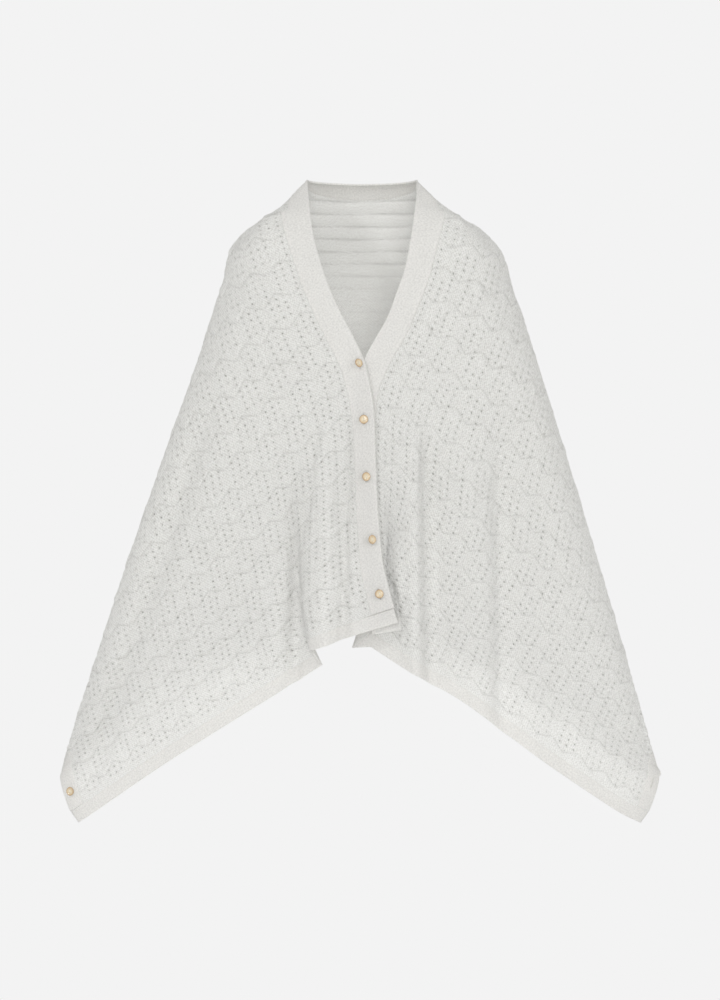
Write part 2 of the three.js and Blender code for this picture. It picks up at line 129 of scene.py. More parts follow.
# How the front hems leave a straight rib, by t: the share of the rib, the rise and the set-back
RIGHT_HEM = {
    "from": 500.0,
    "t": [0, 65, 129, 161, 230, 400, 640],
    "share": [0, 0.13, 0.262, 0.228, 0.345, 0.63, 1],
    "rise": [0, 22, 40, 9, 8, 9, 0],
    "back": [0, 0, 2, 20, 18, 4, 0],
}
LEFT_HEM = {
    "from": 560.0,
    "t": [0, 46, 118, 190, 320, 450, 570, 640],
    "share": [0, 0.1, -0.066, 0.086, 0.35, 0.63, 0.88, 1],
    "rise": [0, 36, -20, -17, -4, -9, -7, 0],
    "back": [0, 3, 22, 28, 15, 3, 0, 0],
}

# Long soft folds of the fronts: upper end, lower end, width, height towards the viewer
FRONT_FOLDS = [
    ((-58, -400), (-62, -760), 17, 9),
    ((-88, -410), (-104, -790), 14, -8),
    ((-30, -390), (-18, -740), 12, -4),
    ((-190, -420), (-262, -880), 30, 5),
    ((68, -360), (78, -730), 17, 7),
    ((100, -380), (122, -760), 14, -9),
    ((150, -330), (178, -800), 20, 7),
    ((198, -260), (232, -830), 20, -7),
    ((285, -430), (330, -880), 26, 5),
    ((12, -268), (95, -190), 9, 4),
]

# Small creases that pull from the first button and lie in the cloth, laid like the folds above
SMALL_CREASES = [
    ((14, -282), (96, -276), 4.5, 2.6),
    ((18, -293), (84, -291), 4.0, -2.2),
    ((40, -262), (128, -168), 7.0, 3.4),
    ((62, -268), (146, -196), 6.0, -3.0),
    ((118, -250), (176, -172), 9.0, 2.4),
    ((-42, -288), (-128, -268), 5.5, 2.2),
    ((-48, -300), (-150, -286), 5.0, -2.0),
    ((-44, -330), (-66, -452), 8.0, 2.6),
    ((-60, -360), (-84, -520), 6.0, -3.2),
    ((34, -452), (44, -640), 6.0, -2.4),
    ((52, -520), (58, -690), 6.5, 2.6),
    ((-150, -520), (-196, -760), 13.0, -3.0),
    ((-118, -560), (-140, -800), 10.0, 2.4),
    ((138, -560), (150, -800), 9.0, -3.0),
    ((250, -560), (296, -860), 14.0, -3.4),
    ((-212, -300), (-396, -870), 17.0, -11.0),
    ((95, -330), (99, -770), 9.0, -8.0),
    ((74, -330), (78, -740), 9.0, 3.5),
    ((203, -380), (206, -810), 14.0, -8.0),
    ((-94, -400), (-98, -760), 10.0, -5.0),
    ((-48, -360), (-52, -750), 10.0, 4.0),
    ((-15, -320), (-31, -735), 7.5, -7.5),
]

# Soft creases anywhere on the cloth, from one (s, t) to another: width, height outwards
CLOTH_CREASES = [
    ((-150, 60), (-205, 150), 9.0, 2.2),
    ((-190, 70), (-250, 190), 8.0, -2.6),
    ((156, 64), (214, 158), 8.5, 2.4),
    ((196, 76), (262, 196), 8.0, -2.4),
    ((-30, 190), (-70, 520), 14.0, 3.0),
    ((24, 150), (12, 430), 11.0, -2.6),
    ((96, 210), (130, 560), 15.0, 3.2),
    ((-140, 240), (-196, 590), 13.0, -3.4),
    ((210, 300), (236, 600), 12.0, -3.0),
    ((-260, 330), (-316, 610), 14.0, 2.8),
    ((330, 380), (352, 620), 12.0, 2.6),
    ((-430, 470), (-450, 625), 12.0, -2.6),
    ((440, 480), (462, 630), 11.0, -2.8),
]

# Waves of the back's lower edge: place in s, width, height outwards
BACK_WAVES = [
    (-585, 52, -15),
    (-480, 50, 24),
    (-372, 50, -26),
    (-268, 50, 27),
    (-160, 52, -27),
    (-52, 50, 26),
    (58, 52, -24),
    (166, 50, 28),
    (276, 52, -27),
    (384, 50, 25),
    (492, 48, -22),
    (590, 50, 14),
]


def ease(v):
    """Smooth step from 0 to 1."""
    u = np.clip(v, 0, 1)
    return u * u * (3 - 2 * u)


def quarter(v):
    """A quarter of an ellipse: steep at 0, level at 1."""
    u = 1 - np.clip(v, 0, 1)
    return np.sqrt(1 - u * u)


def through(keys, values, at):
    """Smooth curve through a table that never overshoots: cubic pieces whose slope at a row is
    the harmonic mean of the slopes beside it, or 0 where they change sign."""
    x = np.asarray(keys, float)
    y = np.asarray(values, float)
    h = np.diff(x)
    steep = np.diff(y) / h
    product = steep[:-1] * steep[1:]
    total = np.where(product > 0, steep[:-1] + steep[1:], 1.0)
    inner = np.where(product > 0, 2 * product / total, 0.0)
    slope = np.concatenate([steep[:1], inner, steep[-1:]])
    q = np.clip(np.asarray(at, float), x[0], x[-1])
    i = np.clip(np.searchsorted(x, q, side="right") - 1, 0, len(x) - 2)
    u = (q - x[i]) / h[i]
    v = 1 - u
    ends = v * v * (1 + 2 * u) * y[i] + u * u * (1 + 2 * v) * y[i + 1]
    return ends + h[i] * u * v * (v * slope[i] - u * slope[i + 1])


def front_depth(z):
    """How far the front edge stands before the shoulder fold, by height."""
    return through(DEPTH_DROP, DEPTH, -z)


def evenly(points, share):
    """Points at shares of the length of a polyline."""
    steps = np.linalg.norm(np.diff(points, axis=0), axis=1)
    along = np.concatenate([[0.0], np.cumsum(steps)])
    want = np.clip(share, 0, 1) * along[-1]
    return np.stack([np.interp(want, along, points[:, k]) for k in range(3)], axis=-1)


def front_edge(xs, drops):
    """A front edge as a polyline: x from its table by drop, y from the depth table."""
    drop = np.linspace(0, drops[-1], 201)
    return np.stack([through(drops, xs, drop), -front_depth(-drop), -drop], axis=-1)


EDGES = {
    -1: front_edge(RIGHT_EDGE_X, RIGHT_EDGE_DROP),
    1: front_edge(LEFT_EDGE_X, LEFT_EDGE_DROP),
}
turn = np.linspace(0, math.pi / 2, 61)
NECK = np.stack(
    [NECK_HALF_WIDTH * np.sin(turn), NECK_DEPTH * np.cos(turn), -NECK_DIP * np.cos(turn) ** 2],
    axis=-1,
)


def front_line(s, start, top):
    """A front rib as a polyline, from the front edge to the fold. Its depth turns in round the
    arm as a quarter ellipse and lies level near the front edge."""
    side = -1 if s < 0 else 1
    a = abs(s)
    share = 1 - (1 - np.linspace(0, 1, RIB_STEPS + 1)) ** 1.6
    x = start[0] + (top[0] - start[0]) * share
    z = start[2] + (top[2] - start[2]) * share
    length = math.hypot(top[0] - start[0], top[2] - start[2])
    full = front_depth(z)
    at_arm = np.minimum(46, 0.62 * full) * (1 - 0.75 * ease((a - 600) / 180))
    level = max(length - PLATEAU, 1)
    hold = 1 - np.clip((share * length - PLATEAU) / level, 0, 1) ** 1.15
    radius = min(70, 0.62 * length)
    y = -(at_arm * quarter((1 - share) * length / radius) + (full - at_arm) * hold)
    lap = LAP_GAP * ease((-start[2] - 60) / 120) if side > 0 else 0
    return np.stack([x, y + top[1] * share + lap * ease(1 - share * 1.6), z], axis=-1)


def folds_at(table, x, z):
    """Sum of soft folds: each a ridge or trough along a line, Gaussian across it, fading in
    over its first quarter and out past its end."""
    total = np.zeros_like(x)
    for (x0, z0), (x1, z1), width, forward in table:
        along = np.array([x1 - x0, z1 - z0], float)
        length = np.linalg.norm(along)
        u = ((x - x0) * along[0] + (z - z0) * along[1]) / length**2
        off = np.abs((x - x0) * along[1] - (z - z0) * along[0]) / length
        fade = ease(u / 0.25) * ease((1.12 - u) / 0.2)
        total += forward * fade * np.exp(-((off / width) ** 2))
    return total


def rib(s, t):
    """The cloth's points at one s for an array of t."""
    side = -1 if s < 0 else 1
    a = abs(s)
    end = np.array([side * through(OUTER_S, OUTER_X, a), through(OUTER_S, OUTER_Y, a), 0.0])
    end[2] = through(OUTER_S, OUTER_Z, a)
    fold_x = side * through(FOLD_S, FOLD_RIGHT if side < 0 else FOLD_LEFT, a)
    out = np.zeros((len(t), 3))
    if a <= NECK_S:
        top = evenly(NECK, np.array(a / NECK_S)) * [side, 1, 1]
        t_fold = 0.0
    else:
        share = (a - NECK_S) / (HALF_LENGTH - NECK_S)
        start = evenly(EDGES[side], np.array(share))
        top = np.array([fold_x, 0.0, through(FOLD_S, FOLD_Z, a)])
        t_fold = float(through(FOLD_S, FOLD_T, a))
        if a > EXTREME_S:
            top = end + [fold_x - side * 449, 0, 0]
            t_fold = WIDTH
        line = front_line(s, start, top)
        front = t < t_fold
        tf = t[front]
        plain = tf / t_fold
        hem = RIGHT_HEM if side < 0 else LEFT_HEM
        bend = min(max((a - hem["from"]) / (HALF_LENGTH - hem["from"]), 0), 1) ** 1.3
        bent = plain + (through(hem["t"], hem["share"], tf) - plain) * bend
        p = evenly(line, bent)
        p[:, 0] += np.minimum(bent, 0) * (top[0] - start[0])
        p[:, 2] += through(hem["t"], hem["rise"], tf) * bend
        p[:, 1] += through(hem["t"], hem["back"], tf) * bend
        room = ease((t_fold - tf) / 90) * ease((tf - 40) / 40)
        p[:, 1] -= folds_at(FRONT_FOLDS, p[:, 0], p[:, 2]) * room
        out[front] = p
    behind = t >= t_fold
    if behind.any():
        tb = t[behind]
        share = np.linspace(0, 1, RIB_STEPS + 1) ** 1.6
        run = math.hypot(end[0] - top[0], end[2] - top[2])
        drop = min(60 + 80 * ease((420 - a) / 250), max(run, 1))
        line = top + (end - top) * share[:, None]
        standing = 0.82 * quarter(share * run / drop) + 0.18 * share
        line[:, 1] = top[1] + (end[1] - top[1]) * standing
        p = evenly(line, (tb - t_fold) / max(WIDTH - t_fold, 1e-6))
        wave = sum(f * math.exp(-(((s - at) / w) ** 2)) for at, w, f in BACK_WAVES)
        p[:, 1] += wave * ease((tb - 170) / 430) * ease((tb - t_fold) / 110)
        out[behind] = p
    return out


def make_net():
    """The cloth on a fine net, in millimetres, and its outward normals: the cross product of
    its slopes along s and along t."""
    s = np.linspace(-HALF_LENGTH, HALF_LENGTH, int(2 * HALF_LENGTH / NET_STEP) + 1)
    t = np.linspace(0, WIDTH, int(WIDTH / NET_STEP) + 1)
    points = np.stack([rib(v, t) for v in s])
    place_s, place_t = np.meshgrid(s, t, indexing="ij")
    for table, u, v in (
        (SMALL_CREASES, points[..., 0], points[..., 2]),
        (CLOTH_CREASES, place_s, place_t),
    ):
        inside = ease((place_t - 33) / 13) * ease((WIDTH - 12 - place_t) / 40)
        on_side = points[..., 1] < -8 if table is SMALL_CREASES else True
        lift = folds_at(table, u, v) * inside * on_side
        slope = np.cross(np.gradient(points, axis=0), np.gradient(points, axis=1))
        slope /= np.maximum(np.linalg.norm(slope, axis=-1, keepdims=True), 1e-9)
        points = points + slope * lift[..., None]
    normals = np.cross(np.gradient(points, axis=0), np.gradient(points, axis=1))
    normals /= np.maximum(np.linalg.norm(normals, axis=-1, keepdims=True), 1e-9)
    return points, normals


NET, NET_NORMALS = make_net()


def read_net(net, s, t):
    """Values of the net at any places, blended between the four nearest points."""
    i = np.clip((s + HALF_LENGTH) / NET_STEP, 0, net.shape[0] - 1.001)
    j = np.clip(t / NET_STEP, 0, net.shape[1] - 1.001)
    i0 = i.astype(int)
    j0 = j.astype(int)
    u = (i - i0)[..., None]
    v = (j - j0)[..., None]
    low = net[i0, j0] * (1 - v) + net[i0, j0 + 1] * v
    high = net[i0 + 1, j0] * (1 - v) + net[i0 + 1, j0 + 1] * v
    return low * (1 - u) + high * u


def on_cloth(s, t, height):
    """Points at a height over the middle of the cloth, in metres."""
    n = read_net(NET_NORMALS, s, t)
    n /= np.maximum(np.linalg.norm(n, axis=-1, keepdims=True), 1e-9)
    return (read_net(NET, s, t) + n * np.asarray(height)[..., None]) * MM


def grid_faces(rows, columns, closed=False):
    """Quads of a grid of points, as rows of four indices, with the faces' places in the grid."""
    i, j = np.meshgrid(np.arange(rows - 1), np.arange(columns - (not closed)), indexing="ij")
    k = (j + 1) % columns
    a = i * columns
    b = (i + 1) * columns
    quads = np.stack([a + j, b + j, b + k, a + k], axis=-1)
    return quads.reshape(-1, 4), i.reshape(-1), j.reshape(-1)


def tube_faces(rows, columns):
    """Quads of a closed wall whose section has an even number of points, with both ends shut
    by pairing the points of its outside with those of its inside."""
    quads = grid_faces(rows, columns, closed=True)[0]
    k = np.arange(columns // 2 - 1)
    other = columns - 1 - k
    near = np.stack([k, k + 1, other - 1, other], axis=-1)
    far = near[:, ::-1] + (rows - 1) * columns
    return np.concatenate([quads, near, far])


def outward(points, quads):
    """The quads, turned round if the volume they enclose comes out negative."""
    a, b, c, d = (points[quads[:, k]] for k in range(4))
    volume = np.einsum("ij,ij->", a, np.cross(b, c)) + np.einsum("ij,ij->", a, np.cross(c, d))
    return quads if volume > 0 else quads[:, ::-1]


def surface_normals(points):
    """Normals of a grid of points, from their slopes both ways."""
    n = np.cross(np.gradient(points, axis=0), np.gradient(points, axis=1))
    return n / np.maximum(np.linalg.norm(n, axis=-1, keepdims=True), 1e-12)


def make_mesh(name, points, faces, uv=None, normals=None, material=None, painted_shade=None):
    """A mesh object at the origin. uv holds (s, t) in metres for each point, and the last argument
    the painted shade of each point, from 0 to 1: how far its colour is darkened towards a shadow
    colour in an eyelet or a groove."""
    used = np.unique(faces)
    renumber = np.zeros(len(points), int)
    renumber[used] = np.arange(len(used))
    faces = renumber[faces]
    points = points[used]
    mesh = bpy.data.meshes.new(name)
    mesh.vertices.add(len(points))
    mesh.vertices.foreach_set("co", points.astype(np.float32).ravel())
    mesh.loops.add(faces.size)
    mesh.loops.foreach_set("vertex_index", faces.astype(np.int32).ravel())
    mesh.polygons.add(len(faces))
    mesh.polygons.foreach_set("loop_start", np.arange(0, faces.size, 4, dtype=np.int32))
    mesh.update(calc_edges=True)
    mesh.validate()
    if uv is not None:
        layer = mesh.uv_layers.new(name="cloth")
        layer.data.foreach_set("uv", uv[used][faces.ravel()].astype(np.float32).ravel())
    mesh.polygons.foreach_set("use_smooth", np.ones(len(mesh.polygons), bool))
    if normals is not None:
        mesh.normals_split_custom_set_from_vertices(normals[used].astype(np.float32).tolist())
    # Painted shade of each point, read by the wool material to darken its colour
    if painted_shade is not None:
        layer = mesh.attributes.new("painted_shade", "FLOAT", "POINT")
        layer.data.foreach_set("value", painted_shade[used].astype(np.float32))
    obj = bpy.data.objects.new(name, mesh)
    bpy.context.scene.collection.objects.link(obj)
    if material:
        mesh.materials.append(material)
    return obj


# Colours and materials


def linear(code):
    """An sRGB colour such as "dcdcd9" as linear RGBA."""
    c = np.array([int(code[k : k + 2], 16) for k in (0, 2, 4)]) / 255
    low = c / 12.92
    high = ((c + 0.055) / 1.055) ** 2.4
    return (*np.where(c <= 0.04045, low, high).tolist(), 1.0)


def node(tree, kind, inputs=None, **settings):
    """Adds a node. inputs maps a socket's name or number to a value or to another's output."""
    made = tree.nodes.new(kind)
    for key, value in settings.items():
        setattr(made, key, value)
    for key, value in (inputs or {}).items():
        if isinstance(value, bpy.types.NodeSocket):
            tree.links.new(value, made.inputs[key])
        else:
            made.inputs[key].default_value = value
    return made


def math_node(tree, operation, a, b=0.0):
    return node(tree, "ShaderNodeMath", {0: a, 1: b}, operation=operation).outputs[0]


def knit_height(tree, u, v, wale, course):
    """Height of plain knitting: rows of V stitches. Along a row the two legs of each V lean
    opposite ways, so a row's phase is shifted by a triangle wave across it."""
    across = math_node(tree, "PINGPONG", math_node(tree, "DIVIDE", u, wale), 0.5)
    along = math_node(tree, "DIVIDE", v, course)
    phase = math_node(tree, "ADD", along, math_node(tree, "MULTIPLY", across, 1.6))
    rows = math_node(tree, "SINE", math_node(tree, "MULTIPLY", phase, 2 * math.pi))
    legs = math_node(tree, "SINE", math_node(tree, "MULTIPLY", across, 2 * math.pi))
    return math_node(tree, "ADD", rows, math_node(tree, "MULTIPLY", legs, 0.8))


def wool(name, light, dark, shadow, wale, course, relief, translucent, net):
    """Fine off-white wool knit: V stitches and a little fuzz as bump, uneven yarn tone, soft sheen,
    and some light let through. Its colour has painted shade: darker between raised stitches and
    between small meshes, and mixed towards the shadow colour in eyelets and grooves. net is the
    depth of the small meshes between the eyelets of lace, which stand three across and two along
    to each eyelet."""
    mat = bpy.data.materials.new(name)
    mat.use_nodes = True
    tree = mat.node_tree
    tree.nodes.clear()
    uv = node(tree, "ShaderNodeUVMap", uv_map="cloth").outputs[0]
    parts = node(tree, "ShaderNodeSeparateXYZ", {0: uv})
    height = knit_height(tree, parts.outputs[1], parts.outputs[0], wale, course)
    fuzz = node(tree, "ShaderNodeTexNoise", {"Vector": uv, "Scale": 900.0, "Detail": 3.0})
    both = math_node(tree, "ADD", height, math_node(tree, "MULTIPLY", fuzz.outputs[0], 1.5))
    loose = node(tree, "ShaderNodeTexNoise", {"Vector": uv, "Scale": 150.0, "Detail": 2.0})
    bend = math_node(tree, "MULTIPLY", loose.outputs[0], 9.0)
    across = math_node(tree, "MULTIPLY", parts.outputs[1], 2 * math.pi / MESH_ACROSS)
    along = math_node(tree, "MULTIPLY", parts.outputs[0], 2 * math.pi / MESH_ALONG)
    across = math_node(tree, "SINE", math_node(tree, "ADD", across, bend))
    along = math_node(tree, "SINE", math_node(tree, "ADD", along, bend))
    meshes = math_node(tree, "MULTIPLY", math_node(tree, "MULTIPLY", across, along), net)
    both = math_node(tree, "ADD", both, math_node(tree, "MULTIPLY", meshes, 3.0))
    bump = node(tree, "ShaderNodeBump", {"Height": both, "Strength": relief, "Distance": 0.0003})
    patch = node(tree, "ShaderNodeTexNoise", {"Vector": uv, "Scale": 45.0, "Detail": 4.0})
    yarn = node(tree, "ShaderNodeTexNoise", {"Vector": uv, "Scale": 400.0, "Detail": 3.0})
    tone_and_painted_shade = math_node(tree, "MULTIPLY", patch.outputs[0], 0.3)
    tone_and_painted_shade = math_node(tree, "ADD", tone_and_painted_shade, math_node(tree, "MULTIPLY", yarn.outputs[0], 2.6))
    tone_and_painted_shade = math_node(tree, "SUBTRACT", tone_and_painted_shade, 0.9)
    # Painted shade: the colour is darker between the small meshes and between the stitches, and
    # lighter on their tops; the noise above is the yarn's own uneven tone
    tone_and_painted_shade = math_node(tree, "ADD", tone_and_painted_shade, meshes)
    tone_and_painted_shade = math_node(tree, "ADD", tone_and_painted_shade, math_node(tree, "MULTIPLY", height, 0.06))
    tint = node(tree, "ShaderNodeMix", {0: tone_and_painted_shade}, data_type="RGBA")
    tint.inputs["A"].default_value = linear(dark)
    tint.inputs["B"].default_value = linear(light)
    tree.links.new(tone_and_painted_shade, tint.inputs["Factor"])
    # Painted shade: the colour is mixed towards the shadow colour by each point's painted shade, in
    # eyelets, welt grooves and along honeycomb lines
    sunk = node(tree, "ShaderNodeAttribute", attribute_name="painted_shade").outputs["Fac"]
    painted_shade_mix = node(tree, "ShaderNodeMix", data_type="RGBA")
    tree.links.new(sunk, painted_shade_mix.inputs["Factor"])
    tree.links.new(tint.outputs["Result"], painted_shade_mix.inputs["A"])
    painted_shade_mix.inputs["B"].default_value = linear(shadow)
    colour = painted_shade_mix.outputs["Result"]
    cloth = node(
        tree,
        "ShaderNodeBsdfPrincipled",
        {
            "Base Color": colour,
            "Roughness": 0.93,
            "Specular IOR Level": 0.25,
            "Sheen Weight": 0.25,
            "Sheen Roughness": 0.6,
            "Normal": bump.outputs[0],
        },
    )
    through_it = node(
        tree,
        "ShaderNodeBsdfTranslucent",
        {"Color": colour, "Normal": bump.outputs[0]},
    )
    mix = node(
        tree,
        "ShaderNodeMixShader",
        {0: translucent, 1: cloth.outputs[0], 2: through_it.outputs[0]},
    )
    node(tree, "ShaderNodeOutputMaterial", {"Surface": mix.outputs[0]})
    return mat


def pearl(name):
    """Natural shell: cream with tan growth bands and a darker tan towards the rim, polished."""
    mat = bpy.data.materials.new(name)
    mat.use_nodes = True
    tree = mat.node_tree
    tree.nodes.clear()
    uv = node(tree, "ShaderNodeUVMap", uv_map="cloth").outputs[0]
    out_from = node(tree, "ShaderNodeVectorMath", {0: uv}, operation="LENGTH").outputs["Value"]
    rim = node(
        tree,
        "ShaderNodeMapRange",
        {"Value": out_from, "From Min": 0.0025, "From Max": 0.0064},
    ).outputs[0]
    bands = node(
        tree, "ShaderNodeTexNoise", {"Vector": uv, "Scale": 260.0, "Detail": 4.0, "Distortion": 1.2}
    ).outputs[0]
    share = math_node(tree, "ADD", math_node(tree, "MULTIPLY", rim, 0.6),
                      math_node(tree, "MULTIPLY", bands, 0.55))
    share = math_node(tree, "SUBTRACT", share, 0.12)
    tint = node(tree, "ShaderNodeMix", data_type="RGBA")
    tint.inputs["A"].default_value = linear("ded2b6")
    tint.inputs["B"].default_value = linear("98703c")
    tree.links.new(share, tint.inputs["Factor"])
    shell = node(
        tree,
        "ShaderNodeBsdfPrincipled",
        {
            "Base Color": tint.outputs["Result"],
            "Roughness": 0.22,
            "Specular IOR Level": 0.6,
            "Coat Weight": 0.4,
            "Coat Roughness": 0.08,
        },
    )
    node(tree, "ShaderNodeOutputMaterial", {"Surface": shell.outputs[0]})
    return mat


def plain(name, colour, roughness):
    """A material of one colour."""
    mat = bpy.data.materials.new(name)
    mat.use_nodes = True
    body = mat.node_tree.nodes["Principled BSDF"]
    body.inputs["Base Color"].default_value = linear(colour)
    body.inputs["Roughness"].default_value = roughness
    return mat


WOOL_SHADOW = "77756c"
SHELL = pearl("polished_natural_shell")
THREAD = plain("off_white_sewing_thread", "d9d6cc", 0.8)
LACE_WOOL = wool(
    "wool_lace_knit", "fafaf7", "e0dfdb", WOOL_SHADOW,
    wale=0.0021, course=0.0017, relief=0.8, translucent=0.3, net=0.45,
)
BAND_WOOL = wool(
    "wool_double_knit_band", "fbfaf7", "e6e5e2", WOOL_SHADOW,
    wale=0.0019, course=0.0015, relief=0.6, translucent=0.4, net=0.0,
)


# Lace


def hexagon_fields(s, t):
    """For places on the lace: distance to the honeycomb's nearest zigzag line on the side
    towards the right hem, on the side towards the left hem, and to its nearest straight line,
    in millimetres. Hexagons stand in rows along t, each row half a pitch on from the last."""
    wide = HEX_PITCH / 2
    reach = HEX_ROW - wide / math.sqrt(3)
    lean = math.cos(math.pi / 6)
    best = None
    u = t - FRONT_BAND + PHASE_T
    along = s - PHASE_S
    for parity in (0, 1):
        centre_row = 2 * np.round((along / HEX_ROW - parity) / 2) + parity
        y = along - centre_row * HEX_ROW
        x = u - HEX_PITCH * (np.round(u / HEX_PITCH - 0.5 * parity) + 0.5 * parity)
        down = (reach + y - np.abs(x) / math.sqrt(3)) * lean
        up = (reach - y - np.abs(x) / math.sqrt(3)) * lean
        side = wide - np.abs(x)
        inside = np.minimum(np.minimum(down, up), side)
        fields = (inside, down, up, side, x, y)
        if best is None:
            best = fields
        else:
            take = inside > best[0]
            best = tuple(np.where(take, new, old) for new, old in zip(fields, best))
    return best


def welt_zone(s, t):
    """1 behind the neck, where the lace is knitted as plain welts, and 0 elsewhere. The yoke of
    welts is half an oval."""
    return ease((1 - np.hypot(s / WELT_S, t / WELT_T)) / 0.06)


def welt_phase(s, t):
    """How many welts down a place lies, and how plainly the welts show there."""
    drop = -read_net(NET[..., 2:], s, t)[..., 0]
    phase = (drop - WELT_TOP) / WELT_PITCH
    wander = 0.05 * np.sin(s / 23 + np.floor(phase) * 1.7)
    return phase + wander, 1 - 0.7 * ease((phase - 4.5) / 3.5)


def lace_height(s, t):
    """Relief of the lace: a plain cushion that swells towards the zigzag line on one side of
    each hexagon and steps down past it, a thin raised outline, and a slightly domed ground.
    Behind the neck there are rounded welts instead, level and evenly spaced in height."""
    inside, down, up, side, x, y = hexagon_fields(s, t)
    vary = 1 + 0.35 * np.sin(0.071 * s + 1.3) * np.sin(0.083 * t + 0.4)
    belly = np.exp(-((x / 13) ** 2))
    cushion = (0.65 + 1.1 * belly) * vary * ease((13 - down) / 12) * ease(down / 3.2)
    outline = (0.45 + 0.7 * belly) * np.exp(-((down / 1.5) ** 2))
    outline += 0.65 * np.exp(-((up / 1.4) ** 2)) + 0.5 * np.exp(-((side / 1.3) ** 2))
    cable = vary + 0.35 * np.sin((x * 0.87 + y * 0.5) * 2 * math.pi / 4.6)
    groove = -0.4 * belly * np.exp(-(((up - 3.0) / 1.6) ** 2))
    groove -= 0.3 * np.exp(-(((side - 2.8) / 1.3) ** 2))
    dome = 0.3 * ease(inside / 12)
    lace = cushion + outline * cable + groove + dome
    phase, fade = welt_phase(s, t)
    welt = (3.6 * np.abs(np.sin(math.pi * phase)) ** 0.5 - 2.2) * fade
    zone = welt_zone(s, t)
    return lace * (1 - zone) - welt * zone


def has_eyelet(s, t):
    """True where the ground of a hexagon has an eyelet: clear of its lines, of the oval of its
    cushion, and of the welts behind the neck."""
    down, up, side, x = hexagon_fields(s, t)[1:5]
    edge = np.minimum(t - FRONT_BAND, WIDTH - EDGE_BAND - t)
    ends = HALF_LENGTH - HEM_BAND - np.abs(s)
    oval = (x / 8.5) ** 2 + ((down - 4) / 5.5) ** 2 > 1
    clear = (down > 2.4) & (up > 2.2) & (side > 1.5) & (edge > 5) & (ends > 6)
    return oval & clear & (welt_zone(s, t) < 0.01)


def lines_in_cells(start, end, cells, shares):
    """Grid lines at the same shares of every cell, and the last line."""
    step = (end - start) / cells
    first = start + step * np.arange(cells)[:, None]
    return np.append((first + step * np.asarray(shares)).ravel(), end)


